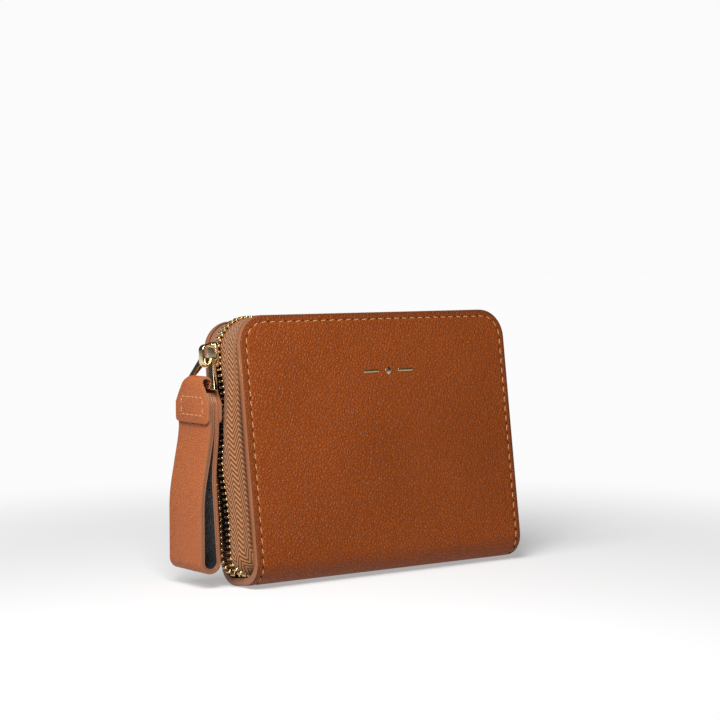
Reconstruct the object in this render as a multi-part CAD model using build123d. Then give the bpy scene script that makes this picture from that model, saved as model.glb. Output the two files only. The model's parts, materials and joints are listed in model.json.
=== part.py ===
from build123d import *
import os
from math import asin, atan2, cos, pi, radians, sin, sqrt

# A zip-around wristlet wallet standing on its spine, in millimetres.
# X runs along the spine, with the zip slider at -X. The front cover faces -Y. Z is up.
# The origin is the centre of the flat strip of the spine that the wallet stands on.

# Overall sizes
width = 128.0          # covers, along X
height = 100.0         # top edge of the covers
depth = 26.0           # outside of one cover to outside of the other
corner_r = 11.0        # top corners of the covers
spine_r = 9.0          # outside radius of the rounded spine

# Sheet thicknesses
leather_t = 1.4
board_t = 0.9
lining_t = 0.7
fold_rise = 3.0        # straight wall of the spine above its round
fold_gap = 0.1         # seam between the spine and a cover

# Main zip: tape dome and teeth
chain_side_foot = 5.7  # teeth stand out past the covers' end, at the slider side's foot
chain_side_top = 2.0   # the same at the top, so that side leans in
chain_side_end = 3.5   # teeth stand out past the covers at the closed end
chain_top = 0.2        # teeth stand out past the covers' top
chain_corner_r = 14.6
chain_foot_z = 4.2     # lowest point of the teeth, inside the spine
chain_foot_r = 8.0
tape_t = 0.6
tape_inset = 2.0       # tape leaves the lining this far inside the covers' edge
tape_flange = 3.5      # strip of tape sewn to the lining
tape_edge = 0.9        # half the gap between the two tape edges, under the teeth
tape_lift = 2.0        # the tape's foot starts this far under the fold
tuck = 7.0             # length of tape turned under at each foot
tooth_pitch = 2.2
tooth_thick = 2.0
tooth_length = 2.6
tooth_height = 0.9
tooth_mesh = 1.1       # how far the two rows reach into each other
chain_end_rise = 4.0   # lowest tooth at the closed end, above the fold
stop_height = 3.0
stop_width = 2.4

# Main zip slider and the opened stretch below it
slider_below_top = 13.2    # middle of the slider, under the covers' top
slider_length = 9.6
slider_mouth = 3.9         # half widths of the plates
slider_tail = 2.9
slider_plate = 1.3
slider_clear = 0.3         # outer plate to teeth
slider_inner_clear = 1.3   # inner plate to teeth, room for the chain's bend
slider_post = 0.5          # half width of the wedge between the rows
mouth_part = 1.25          # each row's shift at the slider's mouth
open_part = 2.3            # each row's shift at the foot

# Bridge, puller, tab and strap
bridge_width = 3.2
bridge_bar = 1.0
bridge_rise = 3.6          # room under the bridge
bridge_hang = 0.55         # the puller's bar lies this share of the way out
bar_t = 1.5                # puller bar, thickness
bar_w = 2.3                # puller bar, face width
bar_clear = 0.15
puller_top = 8.6
puller_bottom = 22.5
puller_drop = 9.5          # top bar to bottom bar, centres
sway_deg = 7.8             # the hanging pieces swing this far towards the back
tab_t = 1.0
tab_width = 22.8
tab_top_width = 8.6
tab_rise = 3.6             # top of the fold above the puller bar
tab_length = 17.4
tab_shoulder = 7.3         # straight sides of the tab
tab_slide = 1.5            # the tab sits off the bar's middle, towards the back
tab_corner_r = 2.0
strap_width = 22.0
strap_leather_t = 1.3
strap_lining_t = 0.7
strap_start = 2.4          # strap ends, below the puller bar
strap_gap = 0.1            # between the two legs, in the tab
seam = 0.1                 # trimmed off a layer where it meets the next
strap_length = 69.5        # puller bar to the lowest point of the loop
strap_bulge = 4.4          # outer leg's swing away from the covers
strap_waist = 1.4          # inner leg's swing away from the covers, halfway down
strap_back = 0.8           # inner leg's swing towards the covers, at the loop's foot
strap_clear = 0.5          # strap to teeth, at the loop's foot

# Interior
pocket_t = 0.8
pocket_slot = 0.9
pocket_rim = 3.0
pocket_margin = 17.0       # card pockets inside the covers' ends
pocket_foot = 4.0          # card pockets above the fold
pocket_heights = (58.0, 44.0)
coin_half_gap = 1.5
coin_t = 0.7
coin_margin = 15.0
coin_rise = 8.0            # coin pocket's top under the covers' top
coin_wall = 1.0
coin_zip_below_top = 22.5
coin_zip_margin = 7.0
coin_slot = 7.0
coin_tape = 4.9
coin_tooth_gap = 0.45
coin_tooth_t = 1.0
coin_tooth_pitch = 2.0
coin_slider_length = 7.0
coin_pull_length = 12.0
coin_pin_r = 0.8
coin_pin_clear = 0.2
gusset_t = 0.5
gusset_outer = 7.3         # gusset pleats, inside the covers' ends
gusset_inner = 12.5
gusset_rise = 2.0          # gussets start above the fold
gusset_below_top = 22.0

# Foil ornament
foil_t = 0.15
foil_width = 24.0
foil_height = 3.4
foil_below_top = 22.7
foil_x = 3.5

# Sizes that follow
cover_t = leather_t + board_t + lining_t
half_depth = depth / 2
inner_y = half_depth - cover_t
fold_z = spine_r + fold_rise
chain_x = width / 2 + chain_side_foot
chain_end_x = width / 2 + chain_side_end
chain_z = height + chain_top
chain_end_z = fold_z + chain_end_rise
side_slope = (chain_side_foot - chain_side_top) / (chain_z - chain_foot_z)
lean_deg = atan2(side_slope, 1) * 180 / pi
slider_z = height - slider_below_top
slider_x = -chain_x + (slider_z - chain_foot_z) * side_slope
part_tail_z = slider_z + slider_length * 0.28
part_mouth_z = slider_z - slider_length * 0.14
plate_in_x = tooth_thick / 2 + slider_clear
plate_out_x = plate_in_x + slider_plate
bar_reach = sqrt(bar_t**2 + bar_w**2) / 2
strap_t = strap_leather_t + strap_lining_t
tab_half = tab_t + strap_t + strap_gap / 2
tab_x = -(chain_x + tooth_thick / 2 + strap_clear + strap_t + strap_back)

X_LEFT, X_RIGHT = -1, 1
FRONT, BACK = -1, 1


def span_box(x0, x1, y0, y1, z0, z1):
    """A box between two corners."""
    size = (abs(x1 - x0), abs(y1 - y0), abs(z1 - z0))
    return Pos((x0 + x1) / 2, (y0 + y1) / 2, (z0 + z1) / 2) * Box(*size)


def mirrored(solid, side):
    """The front's solid, or its mirror image for the back."""
    return solid if side == FRONT else mirror(solid, about=Plane.XZ)


def outline(corners, radii, y):
    """A rounded four-sided face at one depth, its corners given from the low left, clockwise."""
    face = Polygon(*corners, align=None)
    for corner, r in zip(corners, radii):
        if r > 0:
            face = fillet(face.vertices().sort_by_distance((*corner, 0))[:1], r)
    return Plane.XZ.offset(-y) * face


def upright(half, low, high):
    """The corners of a symmetric rectangle."""
    return [(-half, low), (-half, high), (half, high), (half, low)]


def cover_sheet(y0, y1):
    """One full sheet of a cover, between two depths."""
    corners = upright(width / 2, fold_z + fold_gap, height)
    face = outline(corners, (0, corner_r, corner_r, 0), y1)
    return extrude(face, y1 - y0, dir=(0, -1, 0))


def spine_sheet(d0, d1):
    """One layer of the U-shaped spine, between two distances from its outside."""

    def hollow(d):
        half, r = half_depth - d, spine_r - d
        face = Pos(0, (d + fold_z) / 2) * Rectangle(2 * half, fold_z - d)
        return fillet(face.vertices().filter_by_position(Axis.Y, d - 0.01, d + 0.01), r)

    cut = Pos(0, fold_z) * Rectangle(depth, 0.02)
    profile = hollow(d0) - hollow(d1) - cut
    return extrude(Plane.YZ * profile, width / 2, both=True)


def part_shift(z):
    """How far each row stands from its closed place, at a height on the slider side."""
    if z >= part_tail_z:
        return 0.0
    if z >= part_mouth_z:
        return mouth_part * (part_tail_z - z) / (part_tail_z - part_mouth_z)
    spread = (part_mouth_z - z) / (part_mouth_z - chain_foot_z)
    return mouth_part + (open_part - mouth_part) * min(1, spread)


def tape_sections(inset):
    """Outlines of the dome from the teeth to the cover, each smaller than the last."""
    faces = []
    for deg in (0, 25, 50, 70, 90):
        out = cos(radians(deg))
        base = width / 2 - tape_inset - inset
        foot = -base - out * (chain_side_foot + tape_inset)
        top = -base - out * (chain_side_top + tape_inset)
        end = base + out * (chain_side_end + tape_inset)
        high = height - tape_inset - inset + out * (chain_top + tape_inset)
        low = fold_z - tape_lift + inset + out * (chain_foot_z - fold_z + tape_lift)
        turn = corner_r - tape_inset + out * (chain_corner_r - corner_r + tape_inset) - inset
        foot_turn = chain_foot_r - inset
        y = -(tape_edge + sin(radians(deg)) * (inner_y - tape_edge))
        corners = [(foot, low), (top, high), (end, high), (end, low)]
        faces.append(outline(corners, (foot_turn, turn, turn, foot_turn), y))
    return faces


def zip_tape(side):
    """The woven tape: a strip on the lining, then a dome out to the teeth."""
    dome = loft(tape_sections(0), ruled=True) - loft(tape_sections(tape_t), ruled=True)
    half, high, low = width / 2 - tape_inset, height - tape_inset, fold_z - tape_lift
    r, foot_r, y = corner_r - tape_inset, chain_foot_r, -inner_y
    ring = outline(upright(half, low, high), (foot_r, r, r, foot_r), y)
    half, high, low = half - tape_flange, high - tape_flange, low + tape_flange
    r, foot_r = r - tape_flange, foot_r - tape_flange
    hole = outline(upright(half, low, high), (foot_r, r, r, foot_r), y)
    tape = dome + extrude(ring - hole, tape_t, dir=(0, 1, 0))
    foot = width / 2 - tuck
    tape -= span_box(-foot, foot, -half_depth, 1, -5, fold_z + 4)
    edge = [(-tape_edge - part_shift(z), z) for z in (part_tail_z, part_mouth_z, chain_foot_z, -1)]
    gap = Polygon(*edge, (1, -1), (1, part_tail_z), align=None)
    tape -= Pos(-chain_x - 1, 0, 0) * extrude(Plane.YZ * gap, chain_foot_r + 6, dir=(1, 0, 0))
    return mirrored(tape, side)


def chain_path():
    """The line that both rows of teeth follow, from the slider side's foot to the closed end."""
    top_x = -width / 2 - chain_side_top
    return FilletPolyline(
        (-chain_x + chain_foot_r, chain_foot_z), (-chain_x, chain_foot_z), (top_x, chain_z),
        (chain_end_x, chain_z), (chain_end_x, chain_end_z),
        radius=[chain_foot_r * 0.95, chain_corner_r, chain_corner_r],
    )


def on_chain(path, distance):
    """Place on the chain at a distance along it: X, Z, direction and the row's shift."""
    u = distance / path.length
    point, along = path.position_at(u), path.tangent_at(u)
    shift = part_shift(point.Y) if point.X < 0 else 0.0
    return point.X, point.Y, along, shift


def tooth_at(path, distance, size, reach, side):
    """A block on one row, its inner end past the middle line by reach."""
    x, z, along, shift = on_chain(path, distance)
    y = side * (size[1] / 2 - reach + shift)
    turn = -Vector(1, 0).get_signed_angle(Vector(along.X, along.Y), Vector(0, 0, 1))
    return Pos(x, y, z) * Rot(0, turn, 0) * Box(size[2], size[1], size[0])


def zip_teeth(side):
    """One row of metal teeth, half a pitch along from the other row."""
    path = chain_path()
    start = tooth_pitch * (1.0 if side == FRONT else 1.5)
    count = int((path.length - start - stop_height) / tooth_pitch)
    size = (tooth_thick, tooth_length, tooth_height)
    return [
        tooth_at(path, start + i * tooth_pitch, size, tooth_mesh / 2, side) for i in range(count)
    ]


def zip_stops(side):
    """Crimped stops at both ends of one row."""
    path = chain_path()
    size = (stop_width, tooth_length - tooth_mesh, tooth_height)
    ends = (tooth_height / 2, path.length - tooth_height / 2)
    return [tooth_at(path, d, size, -fold_gap, side) for d in ends]


def card_pocket(level, side):
    """A card pocket on a cover: a panel held off the layer behind by a rim on three sides."""
    half = width / 2 - pocket_margin
    low = fold_z + pocket_foot
    high = low + pocket_heights[level]
    back_y = -inner_y + level * (pocket_slot + pocket_t)
    panel_y = back_y + pocket_slot
    panel = span_box(-half, half, panel_y, panel_y + pocket_t, low, high)
    foot = span_box(-half, half, back_y, panel_y, low, low + pocket_rim)
    left = span_box(-half, -half + pocket_rim, back_y, panel_y, low, high)
    right = span_box(half - pocket_rim, half, back_y, panel_y, low, high)
    return mirrored(panel + foot + left + right, side)


def foil_ornament():
    """A plain stamped ornament: a lozenge between two bars."""
    bar = foil_width * 0.3
    lozenge = Polygon((-foil_height / 2, 0), (0, foil_height / 2), (foil_height / 2, 0), (0, -foil_height / 2))
    marks = [lozenge]
    for side in (X_LEFT, X_RIGHT):
        marks.append(Pos(side * (foil_width - bar) / 2, 0) * Rectangle(bar, foil_height * 0.3))
    place = Pos(foil_x, -half_depth, height - foil_below_top) * Rot(90, 0, 0)
    return [place * extrude(mark, foil_t, dir=(0, 0, 1)) for mark in marks]


coin_half = width / 2 - coin_margin
coin_top = height - coin_rise
coin_zip_z = height - coin_zip_below_top
coin_zip_half = coin_half - coin_zip_margin
coin_y = coin_half_gap + coin_t
coin_tooth_outer = coin_tooth_gap + 1.15


def coin_panel(side):
    """One wall of the coin pocket, standing on the spine's lining."""
    y0, y1 = side * coin_half_gap, side * coin_y
    panel = span_box(-coin_half, coin_half, y0, y1, cover_t, coin_top)
    if side == BACK:
        return panel
    half = coin_slot / 2
    z0, z1 = coin_zip_z - half, coin_zip_z + half
    return panel - span_box(-coin_zip_half, coin_zip_half, y0 + 1, y1 - 1, z0, z1)


def coin_gusset():
    """The strip that joins the coin pocket's walls at its foot and ends."""
    y = coin_half_gap
    foot = span_box(-coin_half, coin_half, -y, y, cover_t, cover_t + coin_wall)
    for side in (X_LEFT, X_RIGHT):
        x0, x1 = side * (coin_half - coin_wall), side * coin_half
        foot += span_box(x0, x1, -y, y, cover_t, coin_top)
    return foot


def coin_tape_strip(up):
    """Half of the coin zip's tape, behind the slot; up is 1 or -1."""
    z0, z1 = coin_zip_z + up * coin_tooth_outer, coin_zip_z + up * (coin_tooth_outer + coin_tape)
    half = coin_zip_half + coin_zip_margin / 2
    return span_box(-half, half, -coin_half_gap, -coin_half_gap + tape_t, z0, z1)


def coin_teeth(up):
    """Half of the coin zip's coil, drawn as a comb."""
    middle = -coin_half_gap + tape_t / 2
    y0, y1 = middle - coin_tooth_t / 2, middle + coin_tooth_t / 2
    root = coin_tooth_outer - 0.5
    row = span_box(
        -coin_zip_half + 1, coin_zip_half - 1, y0, y1,
        coin_zip_z + up * root, coin_zip_z + up * coin_tooth_outer,
    )
    count = int((2 * coin_zip_half - 4) / coin_tooth_pitch)
    first = -(count - 1) * coin_tooth_pitch / 2
    for i in range(count):
        x = first + i * coin_tooth_pitch
        row += span_box(
            x - 0.6, x + 0.6, y0, y1, coin_zip_z + up * coin_tooth_gap, coin_zip_z + up * root
        )
    return row


def coin_stops():
    """Stops at both ends of the coin zip."""
    middle = -coin_half_gap + tape_t / 2
    y0, y1 = middle - coin_tooth_t / 2, middle + coin_tooth_t / 2
    z0, z1 = coin_zip_z - coin_tooth_outer, coin_zip_z + coin_tooth_outer
    return [
        span_box(side * (coin_zip_half - 1), side * coin_zip_half, y0, y1, z0, z1)
        for side in (X_LEFT, X_RIGHT)
    ]


coin_slider_x = -coin_zip_half + 1 + coin_slider_length / 2 + 0.5
coin_plate_y = -coin_y - 0.7
coin_pull_y = coin_plate_y - 0.3
coin_pull_t = 0.7
coin_head_t = 0.4


def coin_slider():
    """The coin zip's slider: two plates, a wedge between them and a pin with a head."""
    x0, x1 = coin_slider_x - coin_slider_length / 2, coin_slider_x + coin_slider_length / 2
    half = coin_slot / 2 - 0.5
    z0, z1 = coin_zip_z - half, coin_zip_z + half
    middle = -coin_half_gap + tape_t / 2
    near, far = middle - coin_tooth_t / 2 - 0.3, middle + coin_tooth_t / 2 + 0.3
    body = span_box(x0, x1, coin_plate_y, near, z0, z1)
    body += span_box(x0, x1, far, far + 0.7, z0, z1)
    body += span_box(x0 + 2, x1 - 2, near, far, coin_zip_z - 0.25, coin_zip_z + 0.25)
    head_y = coin_pull_y - coin_pull_t - 0.2
    pin = Cylinder(coin_pin_r, coin_plate_y - head_y, align=(Align.CENTER, Align.CENTER, Align.MIN))
    head = Cylinder(coin_pin_r * 1.9, coin_head_t, align=(Align.CENTER, Align.CENTER, Align.MIN))
    body += Pos(coin_slider_x, coin_plate_y, coin_zip_z) * Rot(90, 0, 0) * pin
    return body + Pos(coin_slider_x, head_y, coin_zip_z) * Rot(90, 0, 0) * head


def coin_puller():
    """The coin zip's flat pull, hung on the slider's pin."""
    head = Circle(2.4)
    tail = Pos(0, -coin_pull_length / 2) * Rectangle(3.2, coin_pull_length)
    face = head + tail + Pos(0, -coin_pull_length) * Circle(2.2)
    face -= Circle(coin_pin_r + coin_pin_clear)
    return Pos(coin_slider_x, coin_pull_y, coin_zip_z) * Rot(90, 0, 0) * extrude(face, coin_pull_t)


def gusset(side, end):
    """A pleated fabric gusset between a cover and the coin pocket, at one end."""
    out, fold = width / 2 - gusset_outer, width / 2 - gusset_inner
    y0, y1 = -inner_y + gusset_t / 2, -coin_y - gusset_t / 2
    points = [
        (out, y0),
        (fold, y0 + (y1 - y0) * 0.3),
        (out, y0 + (y1 - y0) * 0.62),
        (fold, y1),
        (coin_half - 3, y1),
    ]
    pleat = trace(Polyline(*points), gusset_t)
    low = fold_z + gusset_rise
    solid = Pos(0, 0, low) * extrude(pleat, height - gusset_below_top - low)
    if end == X_LEFT:
        solid = mirror(solid, about=Plane.YZ)
    return mirrored(solid, side)


def slider_frame():
    """The slider's place on the chain, leaning with it; the chain's middle is at the origin."""
    return Pos(slider_x, 0, slider_z) * Rot(0, lean_deg, 0)


def slider_plate_solid(x, thick):
    """One plate of the zip slider, wide at its mouth and narrower at its tail."""
    half = slider_length / 2
    face = Polygon(
        (-slider_mouth, -half), (slider_mouth, -half), (slider_tail, half), (-slider_tail, half),
        align=None,
    )
    face = fillet(face.vertices(), slider_tail * 0.6)
    return Pos(x, 0, 0) * extrude(Plane.YZ * face, thick, dir=(1, 0, 0))


def slider_body():
    """The zip slider: an outer and an inner plate joined by the wedge at the mouth."""
    inner_x = tooth_thick / 2 + slider_inner_clear
    body = slider_plate_solid(-plate_out_x, slider_plate) + slider_plate_solid(inner_x, slider_plate * 0.7)
    low = -slider_length / 2
    body += span_box(-plate_in_x, inner_x, -slider_post, slider_post, low + 0.3, low + 2.7)
    return slider_frame() * body


def slider_bridge():
    """The arch on the slider that the puller hangs from."""
    outer = bridge_rise + bridge_bar
    tall = slider_length - 0.7
    face = Pos(-plate_out_x - outer / 2, -0.35) * Rectangle(outer, tall)
    face = fillet(face.vertices().sort_by(Axis.X)[:2], outer * 0.55)
    hole = Pos(-plate_out_x - bridge_rise / 2, -0.35) * Rectangle(bridge_rise, tall - 2 * bridge_bar)
    hole = fillet(hole.vertices().sort_by(Axis.X)[:2], bridge_rise * 0.4)
    return slider_frame() * extrude(Plane.XZ * (face - hole), bridge_width / 2, both=True)


def hanging():
    """The frame of the puller's top bar: its place, with the sway to the back."""
    low = -slider_length / 2 + bridge_bar + bar_reach + bar_clear
    pivot = slider_frame() * Pos(-plate_out_x - bridge_rise * bridge_hang, 0, low)
    return Pos(*pivot.position) * Rot(sway_deg, 0, 0)


def puller_tilt():
    """How far the thick tab holds the puller off the chain, in degrees."""
    return asin((hanging().position.X - tab_x) / puller_drop) * 180 / pi


def puller_frame():
    """A flat trapezoid frame, its top bar under the bridge and its bottom bar in the tab."""
    half = bar_w / 2
    top, low = half, -puller_drop - half
    face = Polygon(
        (-puller_bottom / 2, low), (puller_bottom / 2, low), (puller_top / 2, top), (-puller_top / 2, top),
        align=None,
    )
    hole = Polygon(
        (-puller_bottom / 2 + bar_w * 1.2, low + bar_w), (puller_bottom / 2 - bar_w * 1.2, low + bar_w),
        (puller_top / 2 - bar_w, top - bar_w), (-puller_top / 2 + bar_w, top - bar_w), align=None,
    )
    flat = extrude(Plane.YZ * (face - hole), bar_t / 2, both=True)
    return hanging() * Rot(0, puller_tilt(), 0) * flat


def tab_frame():
    """The frame of the puller's bottom bar, where the tab and strap hang."""
    place = hanging() * Rot(0, puller_tilt(), 0) * Pos(0, 0, -puller_drop)
    return Pos(*place.position) * Rot(sway_deg, 0, 0) * Pos(0, tab_slide, 0)


def arch(margin):
    """The tab's outline seen flat: narrow at the puller, rounded out to full width."""
    half, top_half = tab_width / 2 - margin, tab_top_width / 2 - margin
    low = tab_rise - tab_length
    shoulder = low + tab_shoulder
    bow = (half * 0.73, shoulder + (tab_rise - shoulder) * 0.5)
    foot = Polyline((-half, shoulder), (-half, low), (half, low), (half, shoulder))
    right = ThreePointArc(
        (half, shoulder), bow, (top_half, tab_rise + 0.1)
    )
    lid = Line((top_half, tab_rise + 0.1), (-top_half, tab_rise + 0.1))
    left = ThreePointArc(
        (-top_half, tab_rise + 0.1), (-bow[0], bow[1]), (-half, shoulder)
    )
    face = make_face([*foot.edges(), right.edge(), lid.edge(), left.edge()])
    downs = face.vertices().filter_by_position(Axis.Y, low - 0.01, low + 0.01)
    return fillet(downs, tab_corner_r)


def tab_leather():
    """The leather tab, folded over the puller's bottom bar."""
    low = tab_rise - tab_length
    middle = tab_rise - tab_half

    def finger(half):
        shape = Pos(0, (low + middle) / 2) * Rectangle(2 * half, middle - low)
        return shape + Pos(0, middle) * Circle(half)

    profile = finger(tab_half) - finger(tab_half - tab_t)
    profile -= Pos(0, low) * Rectangle(2 * (tab_half - tab_t), 2)
    fold = extrude(Plane.XZ * profile, tab_width / 2, both=True)
    cut = extrude(Plane.YZ * arch(0), tab_half + 1, both=True)
    return tab_frame() * (fold & cut)


def strap_line(out_by):
    """The loop's line, this far outside the one where its leather and lining are glued."""
    glue = strap_lining_t + strap_gap / 2 + out_by
    low = -strap_length + strap_leather_t - out_by
    foot = tab_rise - tab_length
    out, back = -glue - strap_bulge, glue + strap_back
    turn = (back - out) / 2 * 0.92
    return FilletPolyline(
        (-glue, -strap_start), (-glue, foot - 4), (out, foot - strap_length * 0.39), (out, low),
        (back, low), (glue - strap_waist, foot - strap_length * 0.28), (glue, foot - 4), (glue, -strap_start),
        radius=[40, 60, turn, turn, 60, 60],
    )


def strap_layers():
    """The strap loop's leather and its lining, trimmed to the tab's outline at the top."""
    glued = strap_line(0)
    inside = make_face([*glued.edges(), Edge.make_line(glued @ 1, glued @ 0)])
    both_ways = trace(glued, 2 * strap_lining_t)
    lining = both_ways - (both_ways - inside)
    leather = trace(strap_line((strap_leather_t - seam) / 2), strap_leather_t + seam) - inside
    reach = strap_width
    keep = extrude(Plane.YZ * arch(0.25), strap_bulge + tab_half + 2, both=True)
    keep += span_box(-reach, reach, -reach, reach, -strap_length - 5, tab_rise - tab_length + tab_corner_r)
    return [
        tab_frame() * (extrude(Plane.XZ * band, strap_width / 2, both=True) & keep)
        for band in (leather, lining)
    ]


def write(name, shape):
    """Write one node, with its solids apart when it has several."""
    solids = shape if isinstance(shape, list) else [shape]
    solids = [s for shape in solids for s in shape.solids()]
    whole = solids[0] if len(solids) == 1 else Compound(children=solids)
    export_step(whole, f"parts/{name}.step")


os.makedirs("parts", exist_ok=True)

write("spine_leather", spine_sheet(0, leather_t))
write("spine_filler", spine_sheet(leather_t, leather_t + board_t))
write("spine_lining", spine_sheet(leather_t + board_t, cover_t))
for side, word in ((FRONT, "front"), (BACK, "back")):
    y = [half_depth, half_depth - leather_t, inner_y + lining_t, inner_y]
    write(f"{word}_leather", mirrored(cover_sheet(-y[0], -y[1]), side))
    write(f"{word}_board", mirrored(cover_sheet(-y[1], -y[2]), side))
    write(f"{word}_lining", mirrored(cover_sheet(-y[2], -y[3]), side))
    write(f"{word}_zip_tape", zip_tape(side))
    write(f"{word}_zip_teeth", zip_teeth(side))
    write(f"{word}_zip_stops", zip_stops(side))
    write(f"{word}_card_pocket_1", card_pocket(0, side))
    write(f"{word}_card_pocket_2", card_pocket(1, side))
    write(f"coin_pocket_{word}", coin_panel(side))
    write(f"{word}_left_gusset", gusset(side, X_LEFT))
    write(f"{word}_right_gusset", gusset(side, X_RIGHT))
write("foil_ornament", foil_ornament())
write("coin_pocket_gusset", coin_gusset())
for up, word in ((1, "upper"), (-1, "lower")):
    write(f"coin_zip_{word}_tape", coin_tape_strip(up))
    write(f"coin_zip_{word}_teeth", coin_teeth(up))
write("coin_zip_stops", coin_stops())
write("coin_slider", coin_slider())
write("coin_puller", coin_puller())
write("slider_body", slider_body())
write("slider_bridge", slider_bridge())
write("puller_frame", puller_frame())
write("tab_leather", tab_leather())
for name, layer in zip(("strap_leather", "strap_lining"), strap_layers()):
    write(name, layer)
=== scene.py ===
import json
from math import cos, hypot, pi, radians, sin

import bmesh
import bpy
from mathutils import Matrix, Vector

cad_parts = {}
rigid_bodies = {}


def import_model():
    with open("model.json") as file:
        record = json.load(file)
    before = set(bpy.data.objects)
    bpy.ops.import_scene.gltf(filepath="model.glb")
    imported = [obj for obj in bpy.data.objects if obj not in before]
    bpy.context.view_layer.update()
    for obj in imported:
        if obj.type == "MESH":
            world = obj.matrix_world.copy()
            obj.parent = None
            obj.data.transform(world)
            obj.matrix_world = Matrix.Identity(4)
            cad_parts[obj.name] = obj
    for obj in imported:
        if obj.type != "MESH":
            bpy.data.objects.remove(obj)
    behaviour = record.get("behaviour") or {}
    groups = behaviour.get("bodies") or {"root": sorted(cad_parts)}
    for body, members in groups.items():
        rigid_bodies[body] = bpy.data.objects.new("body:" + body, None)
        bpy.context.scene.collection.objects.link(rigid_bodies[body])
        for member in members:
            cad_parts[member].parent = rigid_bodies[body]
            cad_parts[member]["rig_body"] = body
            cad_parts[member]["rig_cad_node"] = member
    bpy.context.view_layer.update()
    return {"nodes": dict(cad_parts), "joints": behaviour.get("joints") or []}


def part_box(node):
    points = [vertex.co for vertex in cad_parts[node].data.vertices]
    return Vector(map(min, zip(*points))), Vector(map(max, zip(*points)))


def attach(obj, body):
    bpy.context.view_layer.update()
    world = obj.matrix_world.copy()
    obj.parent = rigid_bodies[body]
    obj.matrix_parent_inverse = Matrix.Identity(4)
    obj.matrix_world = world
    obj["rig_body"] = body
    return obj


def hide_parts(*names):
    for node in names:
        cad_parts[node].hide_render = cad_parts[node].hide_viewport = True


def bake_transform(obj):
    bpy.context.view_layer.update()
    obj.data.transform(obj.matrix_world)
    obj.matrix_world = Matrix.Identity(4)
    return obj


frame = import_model()
bpy.ops.object.select_all(action="DESELECT")
mm = 0.001


# Studio. The wallet stands on its spine on a pale table and leans back a little, so the
# table is tilted under it, touching the back of the round spine. The table glows as painted
# light: faintly by the wallet, which lifts its shadow and lights the wallet from below, and
# fully away from it, where it fades into the backdrop. One long lens, level.
lean = radians(7.8)
spine_round = 9 * mm
spine_flat = 4 * mm
studio_white = (0.965, 0.965, 0.965, 1)
glow_from, glow_full = 0.12, 0.34
touch = Vector((0, spine_flat + spine_round * sin(lean), spine_round * (1 - cos(lean))))
bpy.ops.mesh.primitive_plane_add(size=12, location=touch)
table = bpy.context.object
table.name = "table"
table.rotation_euler = (lean, 0, 0)
table_paint = bpy.data.materials.new("table_paint")
table_paint.use_nodes = True
table_shader = table_paint.node_tree.nodes["Principled BSDF"]
table_shader.inputs["Roughness"].default_value = 0.9
table_shader.inputs["Specular IOR Level"].default_value = 0.1
table_shader.inputs["Emission Color"].default_value = studio_white
table_nodes, table_links = table_paint.node_tree.nodes, table_paint.node_tree.links
table_place = table_nodes.new("ShaderNodeTexCoord")
table_reach = table_nodes.new("ShaderNodeVectorMath")
table_reach.operation = "LENGTH"
table_links.new(table_place.outputs["Object"], table_reach.inputs[0])
# Painted light: the table's emission is 0.4 by the wallet, filling its shadow, and full far from it.
for key, by_wallet, far_off in (("Base Color", 0.42, 0.0), ("Emission Strength", 0.4, 1.0)):
    fade = table_nodes.new("ShaderNodeMapRange")
    fade.interpolation_type = "SMOOTHSTEP"
    fade.inputs["From Min"].default_value = glow_from
    fade.inputs["From Max"].default_value = glow_full
    fade.inputs["To Min"].default_value = by_wallet
    fade.inputs["To Max"].default_value = far_off
    table_links.new(table_reach.outputs["Value"], fade.inputs["Value"])
    table_links.new(fade.outputs["Result"], table_shader.inputs[key])
table.data.materials.append(table_paint)

# Studio light: a white backdrop, bright panels above and to the left, and a dark room in
# front, which the metal and the leather reflect.
world = bpy.data.worlds.new("studio")
bpy.context.scene.world = world
world.use_nodes = True
sky_nodes, sky_links = world.node_tree.nodes, world.node_tree.links
room = sky_nodes["Background"]
backdrop = sky_nodes.new("ShaderNodeBackground")
backdrop.inputs["Color"].default_value = studio_white
look = sky_nodes.new("ShaderNodeLightPath")
either = sky_nodes.new("ShaderNodeMixShader")
sky_links.new(look.outputs["Is Camera Ray"], either.inputs[0])
sky_links.new(room.outputs[0], either.inputs[1])
sky_links.new(backdrop.outputs[0], either.inputs[2])
sky_links.new(either.outputs[0], sky_nodes["World Output"].inputs["Surface"])
direction = sky_nodes.new("ShaderNodeTexCoord")
panels = sky_nodes.new("ShaderNodeVectorMath")
panels.operation = "DOT_PRODUCT"
panels.inputs[1].default_value = Vector((-0.60, 0.25, 0.76)).normalized()
sky_links.new(direction.outputs["Generated"], panels.inputs[0])
fall = sky_nodes.new("ShaderNodeMapRange")
fall.interpolation_type = "SMOOTHSTEP"
for key, value in (("From Min", -0.05), ("From Max", 0.55), ("To Min", 0.10), ("To Max", 1.0)):
    fall.inputs[key].default_value = value
sky_links.new(panels.outputs["Value"], fall.inputs["Value"])
sky_links.new(fall.outputs["Result"], room.inputs["Strength"])
bpy.context.scene.view_settings.view_transform = "Standard"

for name, kind, place, power, spread in (
    ("key", "SUN", (-0.62, -0.36, 0.72), 2.5, radians(40)),
    ("near", "AREA", (-0.22, -0.25, 0.27), 1.7, 0.16),
):
    lamp = bpy.data.objects.new(name, bpy.data.lights.new(name, kind))
    bpy.context.collection.objects.link(lamp)
    lamp.data.energy = power
    if kind == "SUN":
        lamp.data.angle = spread
    else:
        lamp.data.size = spread
    lamp.location = place
    lamp.rotation_euler = (Vector((0, 0, 0.05)) - lamp.location).to_track_quat("-Z", "Y").to_euler()

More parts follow.
